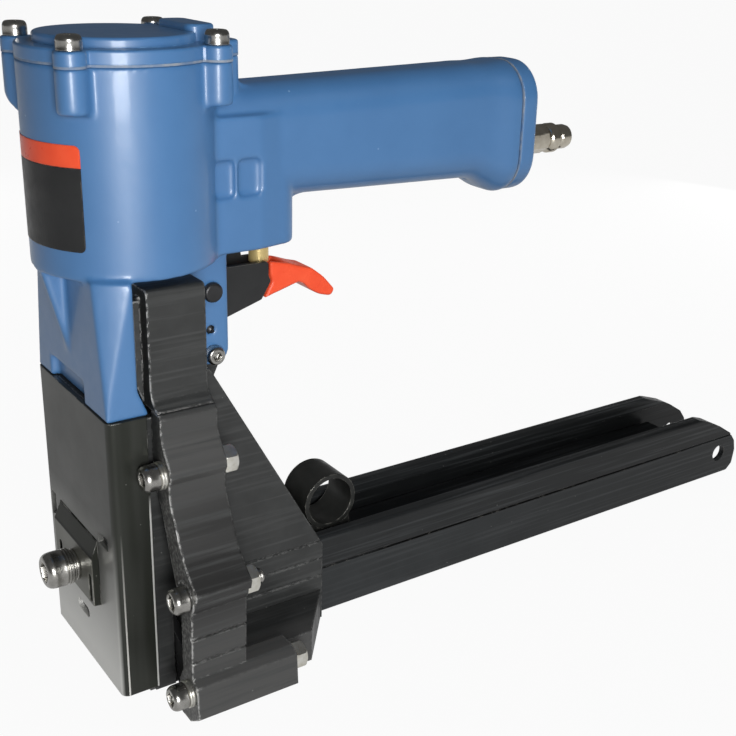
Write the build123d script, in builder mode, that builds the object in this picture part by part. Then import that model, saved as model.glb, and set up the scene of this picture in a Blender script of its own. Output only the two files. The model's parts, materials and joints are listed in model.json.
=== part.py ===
import os
from math import cos, radians, sin, sqrt
from build123d import *

os.makedirs("parts", exist_ok=True)

# Driving dimensions, millimetres: x runs to the rear, y to the far side, z up from the carton
stroke = 32.0
bore_r = 25.0
liner_r = 27.6
cylinder_r = 33.8
cylinder_low = 167.8
cylinder_floor = 172.8
cylinder_top = 239.9
gasket_t = 0.8
cap_low = cylinder_top + gasket_t
screw_seat = 245.3
cap_top = 248.6
cap_disc_r = 27.7
screw_half = 26.0
lug_r = 5.3
lug_low = 225.4
far_taper = 8.4
near_taper = 1.0
rear_x = 42.3
rear_half = 14.2
rod_r = 6.0
handle_half = 17.5
grip_front = 20.0
grip_rear = 148.0
grip_low = (186.9, 183.8)
grip_high = (228.4, 231.4)
handle_end = 172.0
end_half = 19.6
end_low = 176.3
end_high = 232.2
end_round = 16.5
end_cap_t = 8.8
end_screws = (225.6, 184.0)
chamber_half = 11.5
chamber_low = 191.0
chamber_high = 221.5
seal_t = 0.8
plug_z = 195.6
block_low = 169.1
block_rear = 64.6
valve_x = 55.5
pin_x = 28.2
pin_z = 153.6
cheek_in = 7.0
cheek_out = 13.0
lug_rear = 35.2
clamp_x = 28.0
clamp_z = 128.7
neck_front = -24.5
neck_back = -12.0
neck_half = 34.4
neck_low = 119.1
neck_flare = 42.4
neck_top_r = 36.4
core_half = 19.0
plate_front = -24.8
plate_half = 35.4
plate_t = 2.0
plate_low = 4.2
wall_half = 32.0
wing_front = -7.0
wing_rear = 15.6
foot_rear = 36.0
upper_bolt = (40.5, 97.6)
middle_bolt = (56.0, 54.0)
lower_bolt = (57.0, 13.4)
frame_in = 20.2
frame_out = 23.7
frame_rear = 72.2
claw_y = 18.0
claw_z = 26.0
claw_in = 27.0
claw_out = 32.0
claw_turn = 51.6
lever_r = 22.0
lever_rest = 125.0
roller_r = 2.2
slot_half = 2.3
mag_half = 19.8
mag_wall = 3.2
mag_front = 10.0
mag_rear = 350.0
mag_top = 39.5
near_top = 37.2
ring_x = 85.2
ring_z = 47.2
ring_r = 12.9
finger_r = 10.8
gauge_z = 46.8


# Sketch planes across the part
def plane_x(x):
    return Plane(origin=(x, 0, 0), x_dir=(0, 1, 0), z_dir=(1, 0, 0))


def plane_y(y):
    return Plane(origin=(0, y, 0), x_dir=(1, 0, 0), z_dir=(0, -1, 0))


# Plain pieces of material, each added to or cut from the open part
def bar(x, y, z, mode=Mode.ADD):
    with BuildSketch(Plane.XY.offset(z[0])) as face:
        with Locations(((x[0] + x[1]) / 2, (y[0] + y[1]) / 2)):
            Rectangle(x[1] - x[0], y[1] - y[0])
    extrude(face.sketch, amount=z[1] - z[0], mode=mode)


def disc(r, z, at=(0, 0), mode=Mode.ADD):
    with BuildSketch(Plane.XY.offset(z[0])) as face:
        with Locations(at):
            Circle(r)
    extrude(face.sketch, amount=z[1] - z[0], mode=mode)


def rod_x(r, x, at, mode=Mode.ADD):
    with BuildSketch(plane_x(x[0])) as face:
        with Locations(at):
            Circle(r)
    extrude(face.sketch, amount=x[1] - x[0], mode=mode)


def rod_y(r, y, at, mode=Mode.ADD):
    with BuildSketch(plane_y(y[1])) as face:
        with Locations(at):
            Circle(r)
    extrude(face.sketch, amount=y[1] - y[0], mode=mode)


def slab_x(points, x, round_r=0.0, mode=Mode.ADD):
    with BuildSketch(plane_x(x[0])) as face:
        Polygon(*points, align=None)
        if round_r > 0:
            fillet(face.vertices(), round_r)
    extrude(face.sketch, amount=x[1] - x[0], mode=mode)


def slab_y(points, y, round_r=0.0, mode=Mode.ADD):
    with BuildSketch(plane_y(y[1])) as face:
        Polygon(*points, align=None)
        if round_r > 0:
            fillet(face.vertices(), round_r)
    extrude(face.sketch, amount=y[1] - y[0], mode=mode)


def slab_z(points, z, round_r=0.0, mode=Mode.ADD):
    with BuildSketch(Plane.XY.offset(z[0])) as face:
        Polygon(*points, align=None)
        if round_r > 0:
            fillet(face.vertices(), round_r)
    extrude(face.sketch, amount=z[1] - z[0], mode=mode)


def oval(x, half, low, high, r):
    with BuildSketch(plane_x(x)) as face:
        with Locations((0, (low + high) / 2)):
            RectangleRounded(2 * half, high - low, r)
    return face.sketch


def ring(major, minor, z, mode=Mode.ADD):
    with BuildSketch(Plane.XZ) as face:
        with Locations((major, z)):
            Circle(minor)
    revolve(face.sketch, axis=Axis.Z, mode=mode)


# Filling of an inner corner at x and z, rounded with radius r
def corner_fill(x, z, r, half, side):
    near = r * (1 - sqrt(0.5))
    with BuildSketch(plane_y(half)) as face:
        with BuildLine():
            Polyline((x + r, z), (x + r, z - side), (x - 1, z - side), (x - 1, z + side * r), (x, z + side * r))
            ThreePointArc((x, z + side * r), (x + near, z + side * near), (x + r, z))
        make_face()
    extrude(face.sketch, amount=2 * half)


def save(part, label):
    part.label = label
    export_step(part, "parts/" + label + ".step")


def mirrored(points):
    return [(-a, b) for a, b in points]


corners = [(sx * screw_half, sy * screw_half) for sx in (-1, 1) for sy in (-1, 1)]
web_reach = 0.87
webs = [(web_reach * cx, web_reach * cy) for cx, cy in corners]


# Outline shared by the cylinder head, its gasket and its cap
def head_outline():
    Circle(cylinder_r)
    with Locations(*corners, *webs):
        Circle(lug_r)
    with Locations(((rear_x + 10) / 2, 0)):
        RectangleRounded(rear_x - 10, 2 * rear_half, 5)


# Height of the grip's upper or lower line at x
def along_grip(x, ends):
    return ends[0] + (ends[1] - ends[0]) * (x - grip_front) / (grip_rear - grip_front)


# Socket head screw pointing down, its seat at the origin
def socket_screw(r, length, head_r, head_h, hex_r):
    with BuildPart() as screw:
        disc(r, (-length, 0))
        disc(head_r, (0, head_h))
        top = screw.faces().sort_by(Axis.Z)[-1]
        chamfer(top.edges(), 0.5)
        with BuildSketch(Plane.XY.offset(head_h)):
            RegularPolygon(hex_r, 6)
        extrude(amount=-0.55 * head_h, mode=Mode.SUBTRACT)
    return screw.part


# Hexagon nut standing on the origin
def hex_nut(flat, height, hole_r):
    with BuildPart() as nut:
        with BuildSketch():
            RegularPolygon(flat / 2, 6, major_radius=False)
            Circle(hole_r, mode=Mode.SUBTRACT)
        extrude(amount=height)
    return nut.part


# Front of the neck, its corners running up into the round of the cylinder
with BuildPart() as neck_block:
    bar((neck_front, neck_back), (-neck_half, neck_half), (neck_low, cylinder_low + 1))
    with BuildSketch(Plane.XY.offset(neck_low)):
        Circle(neck_flare)
    with BuildSketch(Plane.XY.offset(cylinder_low + 1)):
        Circle(neck_top_r)
    loft(mode=Mode.INTERSECT)

# Screw lug of the cylinder, its underside slanted in towards the wall
def screw_lug(taper):
    middle = screw_half * sqrt(2)
    end = middle + lug_r
    root = lug_low - taper
    with BuildPart() as lug:
        with BuildSketch(Plane.XY.offset(root)):
            with Locations(Location((0, 0, 0), (0, 0, 45))):
                with Locations((middle, 0)):
                    Circle(lug_r)
                with Locations((middle / 2 + 10, 0)):
                    Rectangle(middle - 20, 2 * lug_r)
        extrude(amount=cylinder_top - root)
        with BuildSketch(Plane(origin=(0, 0, 0), x_dir=(1, 1, 0), z_dir=(1, -1, 0))):
            Polygon((15, cylinder_top), (end, cylinder_top), (end, lug_low), (cylinder_r - 1, root), (15, root),
                    align=None)
        extrude(amount=lug_r + 1, both=True, mode=Mode.INTERSECT)
    return lug.part


far_lug = screw_lug(far_taper)
near_lug = screw_lug(near_taper)

# Blue casting: cylinder, handle, valve block, neck and trigger lug
with BuildPart() as body_casting:
    disc(cylinder_r, (cylinder_low, cylinder_top))
    for turn, lug in ((0, far_lug), (90, far_lug), (180, near_lug), (270, near_lug)):
        add(lug, rotation=(0, 0, turn))
    with BuildSketch(Plane.XY.offset(205.0)):
        with Locations(((rear_x + 10) / 2, 0)):
            RectangleRounded(rear_x - 10, 2 * rear_half, 5)
    extrude(amount=cylinder_top - 205.0)
    # handle, flared at its rear end
    grip_root = oval(grip_front, handle_half, grip_low[0], grip_high[0], 13)
    grip_end = oval(grip_rear, handle_half, grip_low[1], grip_high[1], 13)
    flare_start = oval(156.0, handle_half + 0.2, 182.4, 231.4, 13)
    flare_middle = oval(161.0, handle_half + 0.8, 179.8, 231.5, 13.5)
    flare_full = oval(165.0, handle_half + 1.6, 177.4, 231.9, 14.5)
    flare_end = oval(handle_end, end_half, end_low, end_high, end_round)
    loft([grip_root, grip_end], ruled=True)
    loft([grip_end, flare_start, flare_middle, flare_full, flare_end])
    # valve block under the handle root
    with BuildSketch(Plane.XY.offset(block_low)):
        with Locations(((block_rear + 10) / 2, 0)):
            RectangleRounded(block_rear - 10, 2 * handle_half, 9)
    extrude(amount=205.0 - block_low)
    slab_z([(12, -19.6), (46.8, -19.6), (56, -17.4), (56, 17.4), (46.8, 19.6), (12, 19.6)],
           (block_low, 219.5))
    # blends from the handle into the head above and the block below
    corner_fill(rear_x, along_grip(rear_x + 4.5, grip_high), 4.5, 9.0, 1)
    corner_fill(block_rear, along_grip(block_rear + 5.5, grip_low), 5.5, 8.0, -1)
    # neck: front block, core between the side brackets, trigger lug
    add(neck_block.part)
    for y in ((-neck_half, -26), (26, neck_half)):
        slab_y([(neck_back - 1, 128.5), (neck_back, 128.5), (-8.3, neck_low), (neck_back - 1, neck_low)], y)
    bar((neck_back - 1, 15), (-core_half, core_half), (neck_low, cylinder_low + 1))
    slab_y([(13, 124), (lug_rear, 124), (lug_rear, 186), (13, 186)], (-cheek_out, cheek_out), 6)
    slab_y([(-33.0, 168.6), (-24, 168.6), (-24, 133)], (-2, 2))
    disc(cylinder_r, (cylinder_low, cylinder_low + 1))
    # bore, plenum round the liner head, rod hole and crosshead room
    disc(liner_r + 0.1, (cylinder_floor, cylinder_top), mode=Mode.SUBTRACT)
    disc(30.0, (216.0, cylinder_top), mode=Mode.SUBTRACT)
    disc(8.0, (150.0, cylinder_floor), mode=Mode.SUBTRACT)
    disc(11.0, (neck_low, 163.4), mode=Mode.SUBTRACT)
    bar((-10.4, 5.4), (-14, 14), (neck_low, 131), mode=Mode.SUBTRACT)
    # air chamber in the handle and its way to the plenum
    chamber = oval(40.0, chamber_half, chamber_low, chamber_high, 8)
    extrude(chamber, amount=handle_end - 40.0, mode=Mode.SUBTRACT)
    bar((20, 44), (-6, 6), (208, 221), mode=Mode.SUBTRACT)
    # trigger valve bore
    disc(5.6, (block_low, 186.0), (valve_x, 0), mode=Mode.SUBTRACT)
    disc(2.5, (186.0, 192.0), (valve_x, 0), mode=Mode.SUBTRACT)
    # lug slot, pin and clamp holes, blind hole in each cheek
    bar((16, 40), (-cheek_in, cheek_in), (120, block_low), mode=Mode.SUBTRACT)
    rod_y(2.55, (-20, 20), (pin_x, pin_z), mode=Mode.SUBTRACT)
    for y in ((-20, -10.5), (10.5, 20)):
        rod_y(1.7, y, (27.4, 138.5), mode=Mode.SUBTRACT)
    rod_y(2.05, (-20, 20), (clamp_x, clamp_z), mode=Mode.SUBTRACT)
    # pockets in the block's sides, notch at the foot of the neck
    for y in ((-21, -17.6), (17.6, 21)):
        slab_y([(27.2, 190), (35.6, 190), (35.6, 204), (27.2, 204)], y, 2, mode=Mode.SUBTRACT)
        slab_y([(37.0, 190), (46.4, 190), (46.4, 204), (37.0, 204)], y, 2, mode=Mode.SUBTRACT)
    bar((neck_front - 1, -21.6), (-13, 20), (neck_low, 127.5), mode=Mode.SUBTRACT)
    # screw holes
    for cx, cy in corners:
        disc(2.55, (228.8, cylinder_top), (cx, cy), mode=Mode.SUBTRACT)
    for z in end_screws:
        rod_x(2.05, (156, handle_end), (0, z), mode=Mode.SUBTRACT)

# Cylinder cap with its raised disc and rear boss
with BuildPart() as cylinder_cap:
    with BuildSketch(Plane.XY.offset(cap_low)):
        head_outline()
    extrude(amount=screw_seat - cap_low)
    rim = cylinder_cap.faces().sort_by(Axis.Z)[-1]
    fillet(rim.edges(), 1.0)
    with BuildSketch(Plane.XY.offset(screw_seat - 1)):
        Circle(cap_disc_r)
    extrude(amount=cap_top - screw_seat + 1)
    fillet(cylinder_cap.faces().sort_by(Axis.Z)[-1].edges(), 1.2)
    with BuildSketch(Plane.XY.offset(screw_seat - 1)) as boss:
        with Locations((27.0, 0)):
            RectangleRounded(11.0, 27.6, 4)
    extrude(amount=251.0 - screw_seat + 1)
    fillet(cylinder_cap.faces().sort_by(Axis.Z)[-1].edges(), 1.2)
    disc(9.5, (cap_low, 246.2), mode=Mode.SUBTRACT)
    for cx, cy in corners:
        disc(2.75, (cap_low, 260), (cx, cy), mode=Mode.SUBTRACT)
        disc(4.9, (screw_seat, 260), (cx, cy), mode=Mode.SUBTRACT)

with BuildPart() as cap_gasket:
    with BuildSketch(Plane.XY.offset(cylinder_top)):
        head_outline()
        Circle(30.0, mode=Mode.SUBTRACT)
        with Locations(*corners):
            Circle(2.8, mode=Mode.SUBTRACT)
    extrude(amount=gasket_t)

cap_screw = socket_screw(2.5, 16, 4.25, 5.0, 2.3)
with BuildPart() as cap_screws:
    with Locations(*[(cx, cy, screw_seat) for cx, cy in corners]):
        add(cap_screw)

# Inside of the cylinder
with BuildPart() as cylinder_liner:
    disc(liner_r, (cylinder_floor, 228.0))
    disc(bore_r, (cylinder_floor, 228.0), mode=Mode.SUBTRACT)
    for z in (179.0, 210.0):
        disc(40, (z - 1.0, z + 1.0), mode=Mode.SUBTRACT)
        disc(26.2, (z - 1.0, z + 1.0))
        disc(bore_r, (z - 1.0, z + 1.0), mode=Mode.SUBTRACT)

with BuildPart() as liner_seals:
    for z in (179.0, 210.0):
        ring(26.93, 0.7, z)

with BuildPart() as piston_bumper:
    disc(24.6, (cylinder_floor, 181.0))
    disc(9.2, (cylinder_floor, 181.0), mode=Mode.SUBTRACT)

with BuildPart() as rod_bush:
    disc(7.98, (163.5, cylinder_floor))
    disc(rod_r + 0.06, (163.5, cylinder_floor), mode=Mode.SUBTRACT)

with BuildPart() as rod_seal:
    disc(8.9, (cylinder_floor, 176.5))
    disc(rod_r + 0.06, (cylinder_floor, 176.5), mode=Mode.SUBTRACT)

piston_low = 181.0 + stroke
with BuildPart() as piston:
    disc(bore_r - 0.08, (piston_low, piston_low + 11))
    disc(9.0, (piston_low + 6, piston_low + 11), mode=Mode.SUBTRACT)
    disc(4.02, (piston_low, piston_low + 11), mode=Mode.SUBTRACT)
    with BuildSketch(Plane.XY.offset(piston_low + 2.0)):
        Circle(40)
        Circle(22.9, mode=Mode.SUBTRACT)
    extrude(amount=2.2, mode=Mode.SUBTRACT)

with BuildPart() as piston_ring:
    ring(23.93, 0.98, piston_low + 3.1)

crosshead_low = 110.0
crosshead_top = 126.0
with BuildPart() as piston_rod:
    disc(rod_r, (crosshead_top, piston_low))
    disc(4.0, (piston_low, piston_low + 10.8))
    disc(2.5, (crosshead_top, crosshead_top + 14), mode=Mode.SUBTRACT)

nut_m8 = hex_nut(13, 4.4, 4.02)
with BuildPart() as piston_nut:
    with Locations((0, 0, piston_low + 6)):
        add(nut_m8)

with BuildPart() as head_valve:
    disc(26.8, (228.2, 233.5))
    disc(6.0, (233.5, 239.5))
    disc(40, (228.2, 229.6), mode=Mode.SUBTRACT)
    disc(23.6, (228.2, 229.6))

with BuildPart() as head_valve_seal:
    disc(26.8, (228.15, 229.6))
    disc(23.6, (228.15, 229.6), mode=Mode.SUBTRACT)

with BuildPart() as head_valve_spring:
    disc(9.0, (233.5, 246.2))
    disc(6.6, (233.5, 246.2), mode=Mode.SUBTRACT)

# Rear end of the handle
cap_x = handle_end + seal_t
end_seat = 5.0
with BuildPart() as end_cap_gasket:
    extrude(oval(handle_end, end_half, end_low, end_high, end_round), amount=seal_t)
    extrude(oval(handle_end, chamber_half, chamber_low, chamber_high, 8), amount=seal_t, mode=Mode.SUBTRACT)
    for z in end_screws:
        rod_x(2.1, (handle_end, cap_x), (0, z), mode=Mode.SUBTRACT)

with BuildPart() as handle_end_cap:
    extrude(oval(cap_x, end_half, end_low, end_high, end_round), amount=end_cap_t)
    fillet(handle_end_cap.faces().sort_by(Axis.X)[-1].edges(), 3.0)
    extrude(oval(cap_x - 8, chamber_half - 0.2, chamber_low + 0.2, chamber_high - 0.2, 7.8), amount=8)
    rod_x(5.85, (cap_x - 8, 200), (0, plug_z), mode=Mode.SUBTRACT)
    for z in end_screws:
        rod_x(2.1, (cap_x, 200), (0, z), mode=Mode.SUBTRACT)
        rod_x(3.6, (cap_x + end_seat, 200), (0, z), mode=Mode.SUBTRACT)
cap_face = cap_x + end_cap_t

end_screw = socket_screw(2.0, 20, 3.5, 3.6, 1.7)
with BuildPart() as end_cap_screws:
    for z in end_screws:
        with Locations(Location((cap_x + end_seat, 0, z), (0, 90, 0))):
            add(end_screw)

with BuildPart() as air_plug:
    with BuildSketch(Plane.XZ) as plug_half:
        with BuildLine():
            Polyline((cap_x + 0.2, 3.0), (cap_x + 0.2, 5.8), (cap_face, 5.8), (cap_face, 6.6),
                     (202.7, 6.6), (203.3, 5.6), (204.3, 5.6), (204.9, 6.6), (208.7, 6.6),
                     (209.5, 5.4), (215.0, 5.4), (216.5, 3.9), (216.5, 3.0), (cap_x + 0.2, 3.0))
        make_face()
    revolve(axis=Axis.X)
    bar((cap_face, cap_face + 7), (-9, 9), (6.1, 9), mode=Mode.SUBTRACT)
    bar((cap_face, cap_face + 7), (-9, 9), (-9, -6.1), mode=Mode.SUBTRACT)
air_plug.part = air_plug.part.moved(Location((0, 0, plug_z)))

# Trigger valve
with BuildPart() as valve_body:
    disc(5.55, (block_low, 186.0), (valve_x, 0))
    disc(4.0, (158.9, block_low), (valve_x, 0))
    disc(1.56, (158.9, 186.0), (valve_x, 0), mode=Mode.SUBTRACT)
    disc(3.7, (175.0, 186.0), (valve_x, 0), mode=Mode.SUBTRACT)

with BuildPart() as valve_stem:
    disc(1.5, (154.4, 178.0), (valve_x, 0))
    disc(3.3, (175.4, 178.0), (valve_x, 0))

with BuildPart() as valve_spring:
    disc(3.2, (178.0, 185.8), (valve_x, 0))
    disc(2.0, (178.0, 185.8), (valve_x, 0), mode=Mode.SUBTRACT)

# Trigger: pressed channel, plastic finger piece, rivet and pivot pin
channel_side = [(23.6, 155.2), (26.6, 158.4), (37, 160.2), (56.2, 160.0), (56.2, 154.5), (57.2, 151.8),
                (53.0, 144.9), (37, 139.9), (30, 144.6), (24, 150.6)]
channel_far = [(23.6, 155.2), (26.6, 160.4), (31, 164.8), (49.6, 164.2), (50.4, 160.0), *channel_side[3:]]
rivet_x = 50.5
rivet_z = 150.6
with BuildPart() as trigger_body:
    slab_y(channel_side, (-6.8, -4.8), 1.2)
    slab_y(channel_far, (4.8, 6.8), 0.5)
    slab_y([(37, 140.9), (51.6, 145.8), (51.0, 147.6), (36.4, 142.7)], (-4.8, 4.8))
    rod_y(2.56, (-8, 8), (pin_x, pin_z), mode=Mode.SUBTRACT)
    rod_y(1.6, (-6, 6), (rivet_x, rivet_z), mode=Mode.SUBTRACT)

tip_side = [(56.8, 160.0), (65.6, 157.9), (71.8, 155.7), (76.4, 154.5), (82.0, 150.1), (87.4, 144.0),
            (85.4, 141.2), (79.8, 142.8), (75.7, 145.2), (72.2, 148.7), (70.0, 149.5), (64.8, 148.0),
            (59.0, 146.4), (54.2, 145.0), (57.9, 151.7), (56.8, 154.6)]
with BuildPart() as trigger_tip:
    with BuildSketch(plane_y(7.2)) as tip_face:
        Polygon(*tip_side, align=None)
        fillet(tip_face.vertices().sort_by(Axis.X)[-10:], 0.9)
    extrude(amount=14.4)
    bar((50, 63.8), (-4.75, 4.75), (154.1, 170), mode=Mode.SUBTRACT)
    slab_y([(46, 148.2), (53, 148.2), (58, 150), (58, 154.1), (46, 154.1)], (-4.7, 4.7))
    rod_y(1.62, (-8, 8), (rivet_x, rivet_z), mode=Mode.SUBTRACT)

with BuildPart() as trigger_rivet:
    rod_y(1.55, (-5.9, 5.9), (rivet_x, rivet_z))

with BuildPart() as trigger_pin:
    rod_y(2.5, (-cheek_out, cheek_out), (pin_x, pin_z))
    rod_y(3.9, (-cheek_out - 2.2, -cheek_out), (pin_x, pin_z))
    rod_y(3.4, (cheek_out, cheek_out + 1.2), (pin_x, pin_z))
    fillet(trigger_pin.faces().sort_by(Axis.Y)[0].edges(), 1.2)

clamp_screw = socket_screw(2.0, 2 * cheek_out + 4, 3.75, 4.0, 1.8)
with BuildPart() as lug_screw:
    with Locations(Location((clamp_x, -cheek_out, clamp_z), (90, 0, 0))):
        add(clamp_screw)

# Nose: bent front plate and the trough behind it
nose_half = plate_half - plate_t
with BuildPart() as front_plate:
    with BuildSketch(Plane.XY.offset(plate_low)) as bend:
        Polygon((plate_front, -plate_half), (-10, -plate_half), (-10, plate_half), (plate_front, plate_half),
                align=None)
        fillet(bend.vertices().sort_by(Axis.X)[:2], 3)
        Polygon((plate_front + plate_t, -nose_half), (0, -nose_half), (0, nose_half),
                (plate_front + plate_t, nose_half), align=None, mode=Mode.SUBTRACT)
    extrude(amount=119.0 - plate_low)
    slab_x([(-5.3, 36), (5.3, 36), (5.3, 60), (-5.3, 60)], (-30, -20), 2, mode=Mode.SUBTRACT)
    slab_x([(-3.4, 22), (8.6, 22), (8.6, 26.6), (-3.4, 26.6)], (-30, -20), 2.2, mode=Mode.SUBTRACT)
    slab_x([(-28.4, 65), (-19, 65), (-19, 69), (-28.4, 70.6)], (-30, plate_front + plate_t), mode=Mode.SUBTRACT)
    slab_x([(26.6, 55.5), (32, 54), (32, 65), (26.6, 65)], (-30, plate_front + plate_t), mode=Mode.SUBTRACT)

with BuildPart() as nose_block:
    bar((plate_front + plate_t, -10), (-nose_half, nose_half), (4.6, 118.8))
    bar((-10, 2.4), (-wall_half, wall_half), (0, 117))
    bar((-10, 2.5), (-28.5, 28.5), (-1, 118), mode=Mode.SUBTRACT)
    bar((-22.0, 2.4), (-7, 7), (0, 5.4))
    bar((-1.5, 3), (-wall_half - 1, wall_half + 1), (5.5, 34), mode=Mode.SUBTRACT)
    for y in ((-33, -20), (20, 33)):
        bar((-1.5, 3), y, (-1, 6), mode=Mode.SUBTRACT)
    bar((-30, -17.9), (-5.3, 5.3), (36, 60), mode=Mode.SUBTRACT)
    bar((-18, -12), (-7.9, 7.9), (33, 63), mode=Mode.SUBTRACT)

# Clinching claws, their carrier and the cam plate that swings them
with BuildPart() as anvil_carrier:
    bar((-4.5, -1.5), (-28.4, 28.4), (5.5, 77))
    for side in (-1, 1):
        rod_x(3.0, (-5, 0), (side * claw_y, claw_z), mode=Mode.SUBTRACT)
        with BuildSketch(plane_x(-5)):
            with BuildLine():
                a0 = lever_rest if side > 0 else 180 - lever_rest
                CenterArc((side * claw_y, claw_z), lever_r, a0 + side * 6, -side * (claw_turn + 12))
            trace(line_width=2 * slot_half + 0.8)
        extrude(amount=5, mode=Mode.SUBTRACT)

with BuildPart() as anvil_pins:
    for side in (-1, 1):
        rod_x(2.98, (-4.5, 2.2), (side * claw_y, claw_z))


def around(angle, radius):
    return (-claw_y + radius * cos(radians(angle)), claw_z + radius * sin(radians(angle)))


# Left claw: hub, lever to the roller, arm, web and curved blade
tip_angle = 231.4
root_angle = 200.0
web_angle = 237.0
web_r = 29.6
rest_angle = 180 - lever_rest
with BuildPart() as anvil_left:
    rod_x(6.2, (-1.2, 2.2), (-claw_y, claw_z))
    with BuildSketch(plane_x(-1.2)):
        with BuildLine():
            Line(around(rest_angle, 1), around(rest_angle, lever_r))
        trace(line_width=8.0)
        with Locations(around(rest_angle, lever_r)):
            Circle(4.0)
        with BuildLine():
            Line(around(root_angle + 6, 1), around(root_angle + 6, claw_in + 2))
        trace(line_width=8.0)
    extrude(amount=3.4)
    with BuildSketch(plane_x(-1.2)):
        with BuildLine():
            CenterArc((-claw_y, claw_z), claw_in, root_angle, tip_angle - root_angle)
            Line(around(tip_angle, claw_in), around(tip_angle - 3, claw_out))
            CenterArc((-claw_y, claw_z), claw_out, root_angle, tip_angle - 3 - root_angle)
            Line(around(root_angle, claw_out), around(root_angle, claw_in))
        make_face()
    extrude(amount=7.0)
    with BuildSketch(plane_x(-1.2)):
        Polygon(around(root_angle, 4), around(root_angle, web_r), around(root_angle + 19, web_r),
                around(web_angle, web_r), around(web_angle, 4), align=None)
    extrude(amount=3.4)
    rod_x(3.04, (-2, 3), (-claw_y, claw_z), mode=Mode.SUBTRACT)
    rod_x(roller_r - 0.02, (-2, 3), around(rest_angle, lever_r), mode=Mode.SUBTRACT)

with BuildPart() as anvil_right:
    mirror(anvil_left.part, about=Plane.XZ)

with BuildPart() as roller_left:
    rod_x(roller_r - 0.02, (-9.2, 2.0), around(rest_angle, lever_r))

with BuildPart() as roller_right:
    mirror(roller_left.part, about=Plane.XZ)

# The cam slots are the path of the rollers seen from the falling plate
steps = 8
cam_path = []
for i in range(steps + 1):
    y, z = around(rest_angle + claw_turn * i / steps, lever_r)
    cam_path.append((y, z + stroke * i / steps))
with BuildPart() as cam_plate:
    bar((-9.5, -5.0), (-28.2, 28.2), (38, crosshead_low))
    for path in (cam_path, mirrored(cam_path)):
        with BuildSketch(plane_x(-10)):
            with BuildLine():
                Spline(*path)
            trace(line_width=2 * slot_half)
            with Locations(path[0], path[-1]):
                Circle(slot_half)
        extrude(amount=6, mode=Mode.SUBTRACT)

with BuildPart() as crosshead:
    bar((-9.5, 4.6), (-13, 13), (crosshead_low, crosshead_top))
    disc(2.6, (crosshead_low, crosshead_top), mode=Mode.SUBTRACT)
    disc(4.4, (crosshead_low, crosshead_low + 5.4), mode=Mode.SUBTRACT)

rod_screw = socket_screw(2.48, 20, 4.25, 5.0, 2.3)
with BuildPart() as crosshead_screw:
    with Locations(Location((0, 0, crosshead_low + 5.4), (180, 0, 0))):
        add(rod_screw)

with BuildPart() as driver_blade:
    bar((2.6, 4.6), (-13, 13), (34, crosshead_low))

# Main frame: two side walls, cross wall behind the blade, tongue up into the trigger lug
wall_side = [(5.2, 0.4), (frame_rear, 0.4), (frame_rear, 37), (21.2, 127.4), (16, 127.4), (16, 117.5),
             (5.2, 117.5)]
with BuildPart() as main_frame:
    slab_y(wall_side, (-frame_out, -frame_in))
    slab_y(wall_side, (frame_in, frame_out))
    bar((5.2, 9.2), (-frame_in, frame_in), (44, 117.5))
    disc(rod_r + 1.0, (88, 118), mode=Mode.SUBTRACT)
    bar((9.2, 28), (-frame_in, frame_in), (106, 112))
    slab_y([(17, 106), (26, 106), (33.4, 122), (33.4, 133), (17, 133)], (-6.9, 6.9))
    rod_y(2.05, (-8, 8), (clamp_x, clamp_z), mode=Mode.SUBTRACT)
    for side in (-1, 1):
        for z in (12.0, 21.6, 30.0, 38.4):
            bar((0, 80), sorted((side * (frame_out - 0.4), side * (frame_out + 1))), (z, z + 0.8),
                mode=Mode.SUBTRACT)

# Side struts, left of the operator, mirrored to the right
bracket_side = [(-38.4, 120.4), (-core_half, 120.4), (-core_half, 164.6), (-32.8, 164.6), (-32.8, 127.0),
                (-34.0, 123.8), (-36.4, 121.4)]
strip_z = (130.2, 161.0)
with BuildPart() as side_bracket_left:
    with BuildSketch(plane_x(wing_front)) as bracket_face:
        Polygon(*bracket_side, align=None)
        top_edge = bracket_face.vertices().group_by(Axis.Y)[-1]
        fillet(top_edge.sort_by(Axis.X)[0], 2.2)
    extrude(amount=wing_rear - wing_front)
    slab_y([(-11.6, strip_z[0]), (-8.6, 122.6), (-8.6, strip_z[1]), (-11.6, strip_z[1])], (-30.8, -core_half))
    bar((-8.6, wing_front), (-27.0, -core_half), strip_z)

link_side = [(-32.3, 120.1), (-38.8, 120.1), (-40.2, 118.6), (-40.0, 112.0), (-41.6, 108.0), (-44.0, 104.8),
             (-46.9, 100.6), (-47.2, 98.2), (-45.6, 95.2), (-45.4, 90.0), (-46.6, 85.6), (-49.4, 80.6),
             (-52.3, 74.0), (-55.6, 68.0), (-60.4, 63.2), (-65.2, 59.2), (-64.2, 55.2),
             (-48.2, 55.2), (-44.0, 66), (-37.5, 84), (-32.3, 92)]
with BuildPart() as side_link_left:
    slab_x(link_side, (wing_front, wing_rear), 0.8)
    rod_x(6.5, (wing_front - 1, wing_rear + 1), (-middle_bolt[0], middle_bolt[1]), mode=Mode.SUBTRACT)
    rod_x(3.05, (wing_front - 1, wing_rear + 1), (-upper_bolt[0], upper_bolt[1]), mode=Mode.SUBTRACT)

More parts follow.
